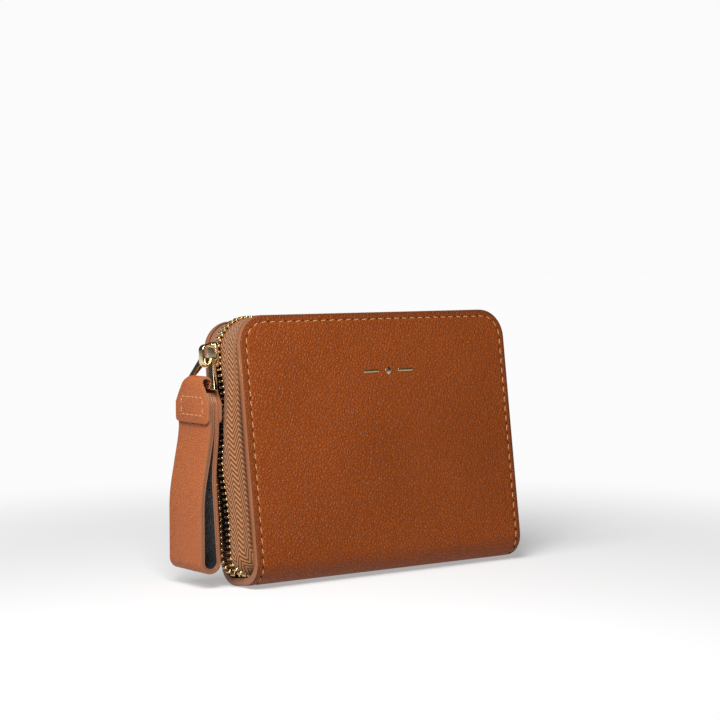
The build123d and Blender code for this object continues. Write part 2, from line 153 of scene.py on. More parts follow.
right, up = Vector((0.80264, -0.59073, -0.08250)), Vector((0.03435, -0.09231, 0.99514))
camera = bpy.data.objects.new("camera", bpy.data.cameras.new("camera"))
bpy.context.collection.objects.link(camera)
turn = Matrix((right, up, right.cross(up))).transposed().to_4x4()
camera.matrix_world = Matrix.Translation((-0.4725, -0.6358, 0.03995)) @ turn
camera.data.lens = 100.57
camera.data.sensor_width = 36
bpy.context.scene.camera = camera


# Cover leather. One hide wraps both covers and the spine, its edges skived and turned down,
# with a pressed groove for the saddle stitch. It is cut at the spine's middle here.
cover_low, cover_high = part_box("front_leather")
half_width = cover_high.x
cover_top = cover_high.z
face_y = cover_low.y
hide_thick = cover_high.y - cover_low.y
fold_z = 12 * mm
corner_round = 11 * mm
edge_drop = 0.45 * mm
edge_shade_width = 2.6 * mm
bend_steps, corner_steps, flat_steps = 14, 12, 4
hide_rings = (
    (0.25, 0.22), (0.35, 0.14), (0.5, 0.08), (0.7, 0.01), (0.3, -0.06), (0.2, -0.13), (0.4, 0.0),
    (0.2, 0.13), (0.3, 0.06), (0.9, 0.02), (1.2, 0.0),
)


def deselect_and_take(piece):
    """Leaves one piece selected and active."""
    if bpy.context.mode != "OBJECT":
        bpy.ops.object.mode_set(mode="OBJECT")
    bpy.ops.object.select_all(action="DESELECT")
    piece.select_set(True)
    bpy.context.view_layer.objects.active = piece


def pick(piece, kind, test):
    """In edit mode, selects only the vertices, edges or faces that pass the test."""
    shape = bmesh.from_edit_mesh(piece.data)
    bpy.ops.mesh.select_mode(type=kind)
    bpy.ops.mesh.select_all(action="DESELECT")
    parts = {"VERT": shape.verts, "EDGE": shape.edges, "FACE": shape.faces}[kind]
    for part in parts:
        if test(part):
            part.select_set(True)
    shape.select_flush_mode()
    bmesh.update_edit_mesh(piece.data)


def use_modifier(piece, kind, **values):
    """Adds a modifier, sets it and applies it."""
    deselect_and_take(piece)
    modifier = piece.modifiers.new(kind.lower(), kind)
    for key, value in values.items():
        setattr(modifier, key, value)
    bpy.ops.object.modifier_apply(modifier=modifier.name)


def wrapped_sheet(name, inset, trim):
    """An open sheet, inset from the covers' outside, from top edge to top edge under the spine."""
    half_x, face, top = half_width - trim, face_y + inset, cover_top - trim
    middle = (0, face, (fold_z + top) / 2)
    bpy.ops.mesh.primitive_plane_add(size=1, location=middle, rotation=(pi / 2, 0, 0))
    sheet = bpy.context.object
    sheet.name = name
    sheet.dimensions = (2 * half_x, top - fold_z, 0)
    bpy.ops.object.transform_apply(location=True, rotation=True, scale=True)
    bpy.ops.object.mode_set(mode="EDIT")
    pick(sheet, "EDGE", lambda e: all(v.co.z < fold_z + 0.1 * mm for v in e.verts))
    bpy.ops.mesh.extrude_region_move(TRANSFORM_OT_translate={"value": (0, 0, spine_round - fold_z)})
    bpy.ops.mesh.spin(steps=bend_steps, angle=-pi / 2, center=(0, -spine_flat, spine_round), axis=(1, 0, 0))
    for _ in range(flat_steps):
        step = (0, 2 * spine_flat / flat_steps, 0)
        bpy.ops.mesh.extrude_region_move(TRANSFORM_OT_translate={"value": step})
    bpy.ops.mesh.spin(steps=bend_steps, angle=-pi / 2, center=(0, spine_flat, spine_round), axis=(1, 0, 0))
    bpy.ops.mesh.extrude_region_move(TRANSFORM_OT_translate={"value": (0, 0, fold_z - spine_round)})
    bpy.ops.mesh.extrude_region_move(TRANSFORM_OT_translate={"value": (0, 0, top - fold_z)})
    bpy.ops.mesh.select_all(action="SELECT")
    bpy.ops.mesh.remove_doubles(threshold=0.01 * mm)
    bpy.ops.mesh.normals_make_consistent(inside=False)
    shape = bmesh.from_edit_mesh(sheet.data)
    widest = max(shape.faces, key=lambda f: f.calc_area())
    if widest.normal.y * widest.calc_center_median().y < 0:
        bpy.ops.mesh.flip_normals()
    pick(sheet, "VERT", lambda v: v.co.z > top - 0.1 * mm)
    bpy.ops.mesh.bevel(offset=corner_round - trim, segments=corner_steps, profile=0.5, affect="VERTICES")
    return sheet


def cut_in_two(piece, front_name, back_name):
    """Cuts a wrapped piece at the middle of the spine and returns its front and back halves."""
    halves = []
    for name, keep_front in ((front_name, True), (back_name, False)):
        half = piece.copy()
        half.data = piece.data.copy()
        half.name = name
        bpy.context.collection.objects.link(half)
        deselect_and_take(half)
        bpy.ops.object.mode_set(mode="EDIT")
        bpy.ops.mesh.select_all(action="SELECT")
        bpy.ops.mesh.bisect(
            plane_co=(0, 0, 0), plane_no=(0, 1, 0), use_fill=True,
            clear_outer=keep_front, clear_inner=not keep_front,
        )
        bpy.ops.object.mode_set(mode="OBJECT")
        bpy.ops.object.shade_smooth_by_angle(angle=radians(50))
        halves.append(half)
    bpy.data.objects.remove(piece)
    return halves


def bend_with_covers(front, back):
    """Bakes each half's placement into its mesh."""
    for half, body, out in ((front, "front_cover", -1), (back, "back_cover", 1)):
        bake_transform(half)


def new_material(name, rough, **sockets):
    """A material with its shader's fixed sockets set; returns it with its tree and shader."""
    material = bpy.data.materials.new(name)
    material.use_nodes = True
    shader = material.node_tree.nodes["Principled BSDF"]
    shader.inputs["Roughness"].default_value = rough
    for key, value in sockets.items():
        shader.inputs[key.replace("_", " ")].default_value = value
    return material, material.node_tree, shader


def new_group(name, inputs, outputs):
    """A shader node group with float or colour inputs and outputs."""
    tree = bpy.data.node_groups.new(name, "ShaderNodeTree")
    for label, kind, value in inputs:
        socket = tree.interface.new_socket(label, in_out="INPUT", socket_type=kind)
        socket.default_value = value
    for label, kind in outputs:
        tree.interface.new_socket(label, in_out="OUTPUT", socket_type=kind)
    return tree, tree.nodes.new("NodeGroupInput"), tree.nodes.new("NodeGroupOutput")


def add_node(tree, kind, links=(), **values):
    """A node with its properties set and its inputs joined: (input, output socket or value)."""
    node = tree.nodes.new(kind)
    for key, value in values.items():
        setattr(node, key, value)
    for target, source in links:
        if isinstance(source, bpy.types.NodeSocket):
            tree.links.new(source, node.inputs[target])
        else:
            node.inputs[target].default_value = source
    return node


def object_place(tree):
    """Where a point lies on the piece."""
    return add_node(tree, "ShaderNodeTexCoord").outputs["Object"]


def noise(tree, scale, detail=2.0):
    """Cloudy noise, finer as the scale rises."""
    return add_node(
        tree, "ShaderNodeTexNoise", [("Vector", object_place(tree)), ("Scale", scale), ("Detail", detail)]
    )


def maths(tree, operation, first, second=0.0):
    """One step of arithmetic; returns the answer."""
    return add_node(tree, "ShaderNodeMath", [(0, first), (1, second)], operation=operation).outputs[0]


def mixed(tree, amount, first, second):
    """Goes from the first colour to the second by an amount; returns the mixture."""
    colours = [(0, amount), (6, first), (7, second)]
    return add_node(tree, "ShaderNodeMix", colours, data_type="RGBA").outputs[2]


def relief(tree, shader, height, strength, depth):
    """Embosses the surface by a height."""
    bump = add_node(
        tree, "ShaderNodeBump", [("Height", height), ("Strength", strength), ("Distance", depth)]
    )
    tree.links.new(bump.outputs["Normal"], shader.inputs["Normal"])


number, shade = "NodeSocketFloat", "NodeSocketColor"

# Leather grain: pebbles with creases between them, finer wrinkles and soft hollows.
grain, grain_in, grain_out = new_group(
    "grain",
    [("Pebble Size", number, 0.9), ("Wrinkle", number, 0.35)],
    [("Height", number), ("Crease", number)],
)
per_metre = maths(grain, "DIVIDE", 1000.0, grain_in.outputs[0])
pebble_drift = (0.7 * mm, 0.7 * mm, 0.7 * mm)
warp = add_node(
    grain, "ShaderNodeVectorMath", [(0, noise(grain, 450.0).outputs["Color"]), (1, pebble_drift)],
    operation="MULTIPLY",
)
warped = add_node(grain, "ShaderNodeVectorMath", [(0, object_place(grain)), (1, warp.outputs[0])])
pebbles = add_node(
    grain, "ShaderNodeTexVoronoi", [("Vector", warped.outputs[0]), ("Scale", per_metre)],
    feature="DISTANCE_TO_EDGE",
)
plateau = add_node(
    grain, "ShaderNodeMapRange", [("Value", pebbles.outputs["Distance"]), ("From Max", 0.22)],
    interpolation_type="SMOOTHSTEP",
)
wrinkle = noise(grain, 2600.0, 3.0)
wrinkle_part = maths(grain, "MULTIPLY", wrinkle.outputs["Fac"], grain_in.outputs[1])
grain_height = maths(grain, "ADD", plateau.outputs["Result"], wrinkle_part)
grain_crease = maths(grain, "SUBTRACT", 1.0, plateau.outputs["Result"])
grain.links.new(grain_height, grain_out.inputs["Height"])
grain.links.new(grain_crease, grain_out.inputs["Crease"])

# Dye: two browns clouded into each other, with painted shade darkening the creases of the grain.
dye, dye_in, dye_out = new_group(
    "dye",
    [("Light", shade, (0.3, 0.1, 0.03, 1)), ("Dark", shade, (0.2, 0.06, 0.02, 1)), ("Crease", number, 0.0),
     ("Crease Shade", number, 0.2)],
    [("Colour", shade), ("Cloud", number)],
)
cloud = noise(dye, 28.0, 5.0)
cloud_wide = add_node(
    dye, "ShaderNodeMapRange", [("Value", cloud.outputs["Fac"]), ("From Min", 0.3), ("From Max", 0.7)]
)
two_browns = mixed(dye, cloud_wide.outputs["Result"], dye_in.outputs["Dark"], dye_in.outputs["Light"])
# Painted shade: the creases are darkened towards near black.
crease_shade_amount = maths(dye, "MULTIPLY", dye_in.outputs["Crease"], dye_in.outputs["Crease Shade"])
colour_with_crease_shade = mixed(dye, crease_shade_amount, two_browns, (0.03, 0.01, 0.004, 1))
dye.links.new(colour_with_crease_shade, dye_out.inputs["Colour"])
dye.links.new(cloud_wide.outputs["Result"], dye_out.inputs["Cloud"])


def leather(name, light, dark, pebble, wrinkle_share, bump, rough, edge_shade):
    """A dyed leather with its own browns, grain and gloss, with painted shade darkening it near its rounded
    edges.
    """
    material, tree, shader = new_material(name, rough, Specular_IOR_Level=0.15)
    skin = add_node(tree, "ShaderNodeGroup", [], node_tree=grain)
    skin.inputs["Pebble Size"].default_value = pebble
    skin.inputs["Wrinkle"].default_value = wrinkle_share
    colour = add_node(tree, "ShaderNodeGroup", [], node_tree=dye)
    colour.inputs["Light"].default_value = (*light, 1)
    colour.inputs["Dark"].default_value = (*dark, 1)
    tree.links.new(skin.outputs["Crease"], colour.inputs["Crease"])
    edge_shade_mask = add_node(tree, "ShaderNodeAttribute", [], attribute_name="edge_shade_mask")
    # Painted shade: the leather darkens along the edge mask, where the hide rounds over.
    amount = maths(tree, "MULTIPLY", edge_shade_mask.outputs["Fac"], edge_shade)
    edge_shaded_colour = mixed(tree, amount, colour.outputs["Colour"], (0.05, 0.016, 0.005, 1))
    tree.links.new(edge_shaded_colour, shader.inputs["Base Color"])
    gloss = add_node(
        tree, "ShaderNodeMapRange",
        [("Value", colour.outputs["Cloud"]), ("To Min", rough - 0.07), ("To Max", rough + 0.08)],
    )
    tree.links.new(gloss.outputs["Result"], shader.inputs["Roughness"])
    relief(tree, shader, skin.outputs["Height"], bump, 0.6 * mm)
    return material


cover_leather = leather(
    "cover_leather", (0.240, 0.048, 0.0045), (0.205, 0.040, 0.003), 1.3, 0.3, 0.55, 0.42, 0.5
)

hide = wrapped_sheet("hide", edge_drop, 0)
pick(hide, "FACE", lambda f: True)
for width, rise in hide_rings:
    bpy.ops.mesh.inset(thickness=width * mm, depth=rise * mm, use_boundary=True, use_even_offset=True)
bpy.ops.object.mode_set(mode="OBJECT")
use_modifier(hide, "SOLIDIFY", thickness=hide_thick, offset=-1, use_even_offset=True)
hide.data.materials.append(cover_leather)
front_hide, back_hide = cut_in_two(hide, "front_hide", "back_hide")
# Painted shade: a mask rising towards each half's side and top edges, darkening the hide where it rounds
# over.
for half in (front_hide, back_hide):
    mark = half.data.attributes.new("edge_shade_mask", "FLOAT", "POINT")
    for vertex, value in zip(half.data.vertices, mark.data):
        from_side = half_width - abs(vertex.co.x)
        from_top = cover_top - vertex.co.z
        over = (corner_round - from_side, corner_round - from_top)
        if min(over) > 0:
            inside = corner_round - hypot(*over)
        else:
            inside = min(from_side, from_top)
        value.value = max(0.0, 1 - inside / edge_shade_width)
bend_with_covers(front_hide, back_hide)
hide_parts("front_leather", "spine_leather")
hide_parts("back_leather", "spine_leather")


# Painted edge. The raw edges of hide, board and lining are sanded flush and sealed with
# several coats of brown edge paint, which stand out as a soft rounded bead.
edge_bulge = 0.2 * mm
edge_proud = 0.05 * mm
paint_thick = 0.3 * mm
edge_paint, edge_tree, edge_shader = new_material("edge_paint", 0.38, Specular_IOR_Level=0.5)
edge_dye = add_node(edge_tree, "ShaderNodeGroup", [], node_tree=dye)
edge_dye.inputs["Light"].default_value = (0.250, 0.095, 0.042, 1)
edge_dye.inputs["Dark"].default_value = (0.195, 0.070, 0.028, 1)
edge_tree.links.new(edge_dye.outputs["Colour"], edge_shader.inputs["Base Color"])
relief(edge_tree, edge_shader, noise(edge_tree, 900.0).outputs["Fac"], 0.3, 0.1 * mm)

bead = wrapped_sheet("bead", edge_drop, 0)
bpy.ops.object.mode_set(mode="OBJECT")
sheet_faces = len(bead.data.polygons)
cover_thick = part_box("front_lining")[1].y - face_y
use_modifier(bead, "SOLIDIFY", thickness=cover_thick - edge_drop, offset=-1, use_rim_only=True)
bpy.ops.object.mode_set(mode="EDIT")
pick(bead, "FACE", lambda f: f.index < sheet_faces)
bpy.ops.mesh.delete(type="FACE")
pick(bead, "EDGE", lambda e: len(e.link_faces) == 2)
bpy.ops.mesh.subdivide(number_cuts=3)
bpy.ops.mesh.select_all(action="SELECT")
bpy.ops.transform.shrink_fatten(value=edge_proud)
pick(bead, "VERT", lambda v: not v.is_boundary)
bpy.ops.transform.shrink_fatten(value=edge_bulge)
bpy.ops.mesh.select_less()
bpy.ops.transform.shrink_fatten(value=edge_bulge * 0.4)
bpy.ops.object.mode_set(mode="OBJECT")
use_modifier(bead, "SOLIDIFY", thickness=paint_thick, offset=-1)
bead.data.materials.append(edge_paint)
front_bead, back_bead = cut_in_two(bead, "front_painted_edge", "back_painted_edge")
bend_with_covers(front_bead, back_bead)


# Lining. A black woven cloth glued over the boards and through the spine, one piece from
# top edge to top edge, cut at the spine's middle here.
weave, weave_in, weave_out = new_group("weave", [("Threads Per Mm", number, 2.2)], [("Over", number)])
turns = maths(weave, "MULTIPLY", weave_in.outputs[0], 2000 * pi)
stretched = add_node(
    weave, "ShaderNodeVectorMath", [(0, object_place(weave)), ("Scale", turns)], operation="SCALE"
)
yarns = add_node(weave, "ShaderNodeSeparateXYZ", [(0, stretched.outputs[0])])
warp_sine = maths(weave, "SINE", yarns.outputs["X"])
weft_sine = maths(weave, "SINE", yarns.outputs["Z"])
crossing = maths(weave, "MULTIPLY", warp_sine, weft_sine)
crossing_half = add_node(
    weave, "ShaderNodeMapRange", [("Value", crossing), ("From Min", -1.0), ("From Max", 1.0)]
)
weave.links.new(crossing_half.outputs["Result"], weave_out.inputs["Over"])

lining_cloth, lining_tree, lining_shader = new_material(
    "lining_cloth", 0.75, Specular_IOR_Level=0.25, Sheen_Weight=0.25, Sheen_Roughness=0.4
)
lining_weave = add_node(lining_tree, "ShaderNodeGroup", [], node_tree=weave)
yarn_over = lining_weave.outputs["Over"]
lining_colour = mixed(lining_tree, yarn_over, (0.010, 0.010, 0.011, 1), (0.030, 0.029, 0.029, 1))
lining_tree.links.new(lining_colour, lining_shader.inputs["Base Color"])
relief(lining_tree, lining_shader, yarn_over, 0.6, 0.1 * mm)

lining_low, lining_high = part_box("front_lining")
lining = wrapped_sheet("lining", lining_low.y - face_y, 0.3 * mm)
bpy.ops.object.mode_set(mode="OBJECT")
use_modifier(lining, "SOLIDIFY", thickness=lining_high.y - lining_low.y, offset=-1, use_even_offset=True)
use_modifier(lining, "BEVEL", width=0.15 * mm, segments=2, limit_method="ANGLE")
lining.data.materials.append(lining_cloth)
front_cloth, back_cloth = cut_in_two(lining, "front_lining_cloth", "back_lining_cloth")
bend_with_covers(front_cloth, back_cloth)
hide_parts("front_lining", "spine_lining")
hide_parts("back_lining", "spine_lining")


# Saddle stitch. Heavy waxed thread in the groove, all round each cover and round the ends
# of the spine, every stitch a short grain that dives into its awl holes.
stitch_inset = 2.5 * mm
stitch_pitch = 3.9 * mm
stitch_length = 2.5 * mm
stitch_thick = 0.44 * mm
stitch_slant = radians(7)
stitch_sunk = 0.12 * mm
thread, thread_tree, thread_shader = new_material("thread", 0.6, Specular_IOR_Level=0.35, Sheen_Weight=0.15)
ply = add_node(
    thread_tree, "ShaderNodeTexWave", [("Vector", object_place(thread_tree)), ("Scale", 700.0)],
    bands_direction="DIAGONAL",
)
thread_colour = mixed(thread_tree, ply.outputs["Fac"], (0.30, 0.115, 0.032, 1), (0.58, 0.27, 0.095, 1))
thread_tree.links.new(thread_colour, thread_shader.inputs["Base Color"])
relief(thread_tree, thread_shader, ply.outputs["Fac"], 0.5, 0.1 * mm)


def one_stitch(name, length, thick):
    """A single stitch at the origin, lying along X with its ends turned down."""
    bpy.ops.mesh.primitive_uv_sphere_add(segments=10, ring_count=8, radius=0.5, rotation=(0, pi / 2, 0))
    stitch = bpy.context.object
    stitch.name = name
    bpy.ops.object.transform_apply(rotation=True)
    stitch.data.transform(Matrix.Diagonal((length, thick, thick * 0.8, 1)))
    for vertex in stitch.data.vertices:
        vertex.co.z -= thick * 0.35 * (2 * vertex.co.x / length) ** 4
    bpy.ops.object.shade_smooth()
    return stitch


def sew(name, stitch, places, material):
    """One piece of needlework: a copy of the shape at each place, joined."""
    copies = []
    for place_here in places:
        copy = stitch.copy()
        copy.data = stitch.data.copy()
        copy.data.transform(place_here)
        bpy.context.collection.objects.link(copy)
        copies.append(copy)
    bpy.ops.object.select_all(action="DESELECT")
    for copy in copies:
        copy.select_set(True)
    bpy.context.view_layer.objects.active = copies[0]
    bpy.ops.object.join()
    row = bpy.context.object
    row.name = name
    row.data.materials.clear()
    row.data.materials.append(material)
    return row


def round_the_spine(v, side):
    """Place and outward direction on the hide's outside, v along it from the spine's middle."""
    bend = pi / 2 * spine_round
    if v < spine_flat:
        return Vector((0, side * v, 0)), Vector((0, 0, -1))
    if v < spine_flat + bend:
        turned = (v - spine_flat) / spine_round
        out = Vector((0, side * sin(turned), -cos(turned)))
        return Vector((0, side * spine_flat, spine_round)) + out * spine_round, out
    high = spine_round + v - spine_flat - bend
    return Vector((0, side * -face_y, high)), Vector((0, side, 0))


def stitch_line(side):
    """Places of one cover's stitches, from the spine's left end over the top to its right."""
    x_line = half_width - stitch_inset
    bend = pi / 2 * spine_round
    v_top = spine_flat + bend + cover_top - spine_round - stitch_inset
    turn_r = corner_round - stitch_inset
    straight, arc, across = v_top - turn_r, pi / 2 * turn_r, 2 * (x_line - turn_r)
    whole = 2 * straight + 2 * arc + across
    count = round(whole / stitch_pitch)
    places = []
    for i in range(count):
        s = (i + 0.5) * whole / count
        mirror_x = 1
        if s > whole / 2:
            s, mirror_x = whole - s, -1
        if s < straight:
            x, v, dx, dv = -x_line, s, 0, 1
        elif s < straight + arc:
            a = (s - straight) / turn_r
            x, v = -x_line + turn_r * (1 - cos(a)), straight + turn_r * sin(a)
            dx, dv = sin(a), cos(a)
        else:
            x, v, dx, dv = -x_line + turn_r + s - straight - arc, v_top, 1, 0
        spot, out = round_the_spine(v, side)
        up_way = Vector((1, 0, 0)).cross(out) * side
        along = (Vector((dx * mirror_x, 0, 0)) + up_way * dv).normalized()
        across_way = out.cross(along)
        spin = Matrix.Rotation(stitch_slant * mirror_x, 3, out)
        turned = Matrix((spin @ along, spin @ across_way, out)).transposed().to_4x4()
        spot = Vector((x * mirror_x, spot.y, spot.z)) - out * stitch_sunk
        places.append(Matrix.Translation(spot) @ turned)
    return places


cover_stitch = one_stitch("cover_stitch", stitch_length, stitch_thick)
# Painted shade: a small dark blob between each pair of stitches stands for the shadow in the awl hole.
hole_shadow_blob = one_stitch("hole_shadow_blob", 0.85 * mm, 0.6 * mm)
hole_shadow, hole_tree, hole_shader = new_material("hole_shadow", 0.9, Specular_IOR_Level=0.1)
hole_shadow_tone = add_node(hole_tree, "ShaderNodeGroup", [], node_tree=dye)
hole_shadow_tone.inputs["Light"].default_value = (0.035, 0.010, 0.003, 1)
hole_shadow_tone.inputs["Dark"].default_value = (0.020, 0.006, 0.002, 1)
hole_tree.links.new(hole_shadow_tone.outputs["Colour"], hole_shader.inputs["Base Color"])
between = Matrix.Translation((stitch_pitch / 2, 0, -0.1 * mm))
for side, word in ((-1, "front"), (1, "back")):
    line = stitch_line(side)
    rows = (
        sew(f"{word}_stitches", cover_stitch, line, thread),
        sew(f"{word}_awl_hole_shadows", hole_shadow_blob, [spot @ between for spot in line], hole_shadow),
    )
    for row in rows:
        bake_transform(row)
bpy.data.objects.remove(cover_stitch)
bpy.data.objects.remove(hole_shadow_blob)


# Zip tape. Two herringbone tapes, sewn inside the covers' edges and domed out to the teeth.
# Below the slider the rows are parted: there the tapes stand apart, bow out and curl in.
tape_inset = 0.5 * mm
tape_side_foot = 5.7 * mm
tape_side_top = 2.0 * mm
tape_side_end = 3.5 * mm
chain_top = cover_top + 0.2 * mm
chain_foot_z = 4.2 * mm
chain_round = 14.6 * mm
tape_edge = 0.9 * mm
tape_thick = 0.6 * mm
inner_y = -lining_high.y
foot_round = 8 * mm
foot_end = half_width - 7 * mm
part_tail_z, part_mouth_z = 89.5 * mm, 85.5 * mm
mouth_part, open_part = 1.25 * mm, 2.3 * mm
slider_side = -0.6 * half_width
most_bow, bow_low, bow_high = 2.0 * mm, 24 * mm, 82 * mm
most_tuck, tuck_low, tuck_high = 2.6 * mm, 42 * mm, 84 * mm
curl_share = 0.35
tape_levels = 14
tape_width = 15.5
vee_half, vee_slant, ribs_per_mm = 3.1, 0.6, 0.5
seam_shade_from, seam_shade_to = 12.6, 14.2


def part_shift(x, z):
    """How far one row stands from its closed place."""
    if x > 0 or z > part_tail_z:
        return 0.0
    if z > part_mouth_z:
        return mouth_part * (part_tail_z - z) / (part_tail_z - part_mouth_z)
    spread = (part_mouth_z - z) / (part_mouth_z - chain_foot_z)
    return mouth_part + (open_part - mouth_part) * min(1.0, spread)


def swell(z, low, high):
    """A smooth hump between two heights, 0 at both and 1 halfway."""
    return sin(pi * (z - low) / (high - low)) ** 2 if low < z < high else 0.0


def bow_out(x, z):
    """How far the slider side bows away from the covers below the slider."""
    return most_bow * swell(z, bow_low, bow_high) if x < slider_side else 0.0


def tuck_under(x, z):
    """How far the parted edge curls in under its tape, below the slider."""
    return most_tuck * swell(z, tuck_low, tuck_high) if x < slider_side else 0.0


def tape_outline(out):
    """Straight and round stretches of the tape at one level: 0 at the lining, 1 under the teeth."""
    base = half_width - tape_inset
    foot = -base - out * (tape_side_foot + tape_inset)
    top = -base - out * (tape_side_top + tape_inset)
    end = base + out * (tape_side_end + tape_inset)
    high = cover_top - tape_inset + out * (chain_top - cover_top + tape_inset)
    low = fold_z - 2 * mm + out * (chain_foot_z - fold_z + 2 * mm)
    turn_r = corner_round - tape_inset + out * (chain_round - corner_round + tape_inset)
    slope = (top - foot) / (high - low)
    return [
        ("line", (-foot_end, low), (foot + foot_round, low), 4),
        ("arc", (foot + foot_round, low + foot_round), foot_round, (-90, -180), 12),
        ("line", (foot + slope * foot_round, low + foot_round), (top - slope * turn_r, high - turn_r), 90),
        ("arc", (top + turn_r, high - turn_r), turn_r, (180, 90), 20),
        ("line", (top + turn_r, high), (end - turn_r, high), 50),
        ("arc", (end - turn_r, high - turn_r), turn_r, (90, 0), 20),
        ("line", (end, high - turn_r), (end, low + foot_round), 48),
        ("arc", (end - foot_round, low + foot_round), foot_round, (0, -90), 12),
        ("line", (end - foot_round, low), (foot_end, low), 4),
    ]


def outline_points(out):
    """Evenly counted points along one level of the tape."""
    points = []
    for kind, *sizes, count in tape_outline(out):
        for i in range(count):
            f = i / count
            if kind == "line":
                (x0, z0), (x1, z1) = sizes
                points.append((x0 + f * (x1 - x0), z0 + f * (z1 - z0)))
            else:
                (cx, cz), r, (a0, a1) = sizes
                a = radians(a0 + f * (a1 - a0))
                points.append((cx + r * cos(a), cz + r * sin(a)))
    return points + [(foot_end, tape_outline(out)[-1][2][1])]


def flex_with_cover(piece):
    """Bakes the piece's placement into its mesh."""
    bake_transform(piece)


herringbone, tape_tree, tape_shader = new_material(
    "herringbone_tape", 0.78, Specular_IOR_Level=0.2, Sheen_Weight=0.08
)
tape_place = add_node(tape_tree, "ShaderNodeUVMap", [], uv_map="UVMap")
tape_axes = add_node(tape_tree, "ShaderNodeSeparateXYZ", [(0, tape_place.outputs[0])])
zigzag = maths(tape_tree, "PINGPONG", tape_axes.outputs["Y"], vee_half)
slanted = maths(tape_tree, "MULTIPLY", zigzag, vee_slant)
ribs = maths(tape_tree, "MULTIPLY", tape_axes.outputs["X"], ribs_per_mm)
rib_phase = maths(tape_tree, "ADD", slanted, ribs)
rib_turn = maths(tape_tree, "MULTIPLY", rib_phase, 2 * pi)
rib_sine = maths(tape_tree, "SINE", rib_turn)
rib_mask = add_node(
    tape_tree, "ShaderNodeMapRange", [("Value", rib_sine), ("From Min", -1.0), ("From Max", 1.0)]
)
tape_colour = mixed(
    tape_tree, rib_mask.outputs["Result"], (0.085, 0.030, 0.011, 1), (0.37, 0.155, 0.060, 1)
)
# Painted shade: the tape darkens where it meets and tucks under the covers' edges.
seam_shade = add_node(
    tape_tree, "ShaderNodeMapRange",
    [("Value", tape_axes.outputs["Y"]), ("From Min", seam_shade_from), ("From Max", seam_shade_to), ("To Max", 0.8)],
)
seam_shaded_colour = mixed(tape_tree, seam_shade.outputs["Result"], tape_colour, (0.03, 0.012, 0.006, 1))
tape_tree.links.new(seam_shaded_colour, tape_shader.inputs["Base Color"])
relief(tape_tree, tape_shader, rib_mask.outputs["Result"], 1.0, 0.3 * mm)

lines = []
for level in range(tape_levels + 1):
    swing = pi / 2 * level / tape_levels
    lines.append((swing, outline_points(cos(swing))))
for name, side, body in (("front", -1, "front_cover"), ("back", 1, "back_cover")):
    rim = lines[0][1]
    count = len(rim) - 1
    run = [0.0]
    for (x0, z0), (x1, z1) in zip(rim, rim[1:]):
        run.append(run[-1] + hypot(x1 - x0, z1 - z0) / mm)
    bpy.ops.mesh.primitive_grid_add(x_subdivisions=count, y_subdivisions=tape_levels, size=1)
    tape = bpy.context.object
    tape.name = f"{name}_tape"
    for corner in tape.data.uv_layers[0].data:
        corner.uv = (run[round(corner.uv.x * count)], corner.uv.y * tape_width)
    for vertex in tape.data.vertices:
        i = round((vertex.co.x + 0.5) * count)
        j = round((vertex.co.y + 0.5) * tape_levels)
        swing, points = lines[j]
        x, z = points[i]
        edge = tape_edge + part_shift(*lines[0][1][i])
        curl = tuck_under(x, z)
        bow = bow_out(x, z) * cos(swing)
        x += curl * (max(0.0, 1 - swing / curl_share) - curl_share * sin(2 * swing)) - bow
        vertex.co = (x, side * (edge + sin(swing) * (inner_y - edge)), z)
    deselect_and_take(tape)
    bpy.ops.object.mode_set(mode="EDIT")
    bpy.ops.mesh.select_all(action="SELECT")
    bpy.ops.mesh.normals_make_consistent(inside=False)
    shape = bmesh.from_edit_mesh(tape.data)
    shape.faces.ensure_lookup_table()
    topmost = max(shape.faces, key=lambda f: f.calc_center_median().z)
    if topmost.normal.z < 0:
        bpy.ops.mesh.flip_normals()
    bpy.ops.object.mode_set(mode="OBJECT")
    use_modifier(tape, "SOLIDIFY", thickness=tape_thick, offset=-1)
    bpy.ops.object.shade_smooth_by_angle(angle=radians(50))
    tape.data.materials.append(herringbone)
    flex_with_cover(tape)
    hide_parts(f"{name}_zip_tape")


# Metal. Pale gold plating over zinc and brass, polished, with faint handling marks.
def gold(name, colour, rough, mark):
    """A plated finish with fine marks in its polish."""
    material, tree, shader = new_material(name, rough, Metallic=1.0)
    marks = noise(tree, 1500.0, 4.0)
    tone = mixed(tree, marks.outputs["Fac"], (*(c * 0.86 for c in colour), 1), (*colour, 1))
    tree.links.new(tone, shader.inputs["Base Color"])
    haze = add_node(
        tree, "ShaderNodeMapRange",
        [("Value", marks.outputs["Fac"]), ("To Min", rough - mark), ("To Max", rough + mark)],
    )
    tree.links.new(haze.outputs["Result"], shader.inputs["Roughness"])
    return material


polished_gold = gold("polished_gold", (0.86, 0.68, 0.40), 0.18, 0.07)
tooth_gold = gold("tooth_gold", (0.80, 0.58, 0.30), 0.26, 0.10)
foil_gold = gold("foil_gold", (0.83, 0.64, 0.36), 0.30, 0.10)


def finished(node, name, material, bevel, segments=2, rides=True):
    """A CAD solid's copy with its sharp edges broken, standing for the node."""
    piece = frame["nodes"][node].copy()
    piece.data = frame["nodes"][node].data.copy()
    piece.name = name
    body = piece["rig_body"]
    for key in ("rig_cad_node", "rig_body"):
        del piece[key]
    piece.parent = None
    bpy.context.collection.objects.link(piece)
    deselect_and_take(piece)
    bpy.ops.object.mode_set(mode="EDIT")
    bpy.ops.mesh.select_all(action="SELECT")
    bpy.ops.mesh.remove_doubles(threshold=0.002 * mm)
    bpy.ops.mesh.dissolve_limited(angle_limit=radians(0.5))
    bpy.ops.object.mode_set(mode="OBJECT")
    sharp = radians(35)
    use_modifier(piece, "BEVEL", width=bevel, segments=segments, limit_method="ANGLE", angle_limit=sharp)
    bpy.ops.object.shade_smooth_by_angle(angle=radians(40))
    piece.data.materials.clear()
    piece.data.materials.append(material)
    if rides:
        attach(piece, body)
    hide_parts(node)
    return piece


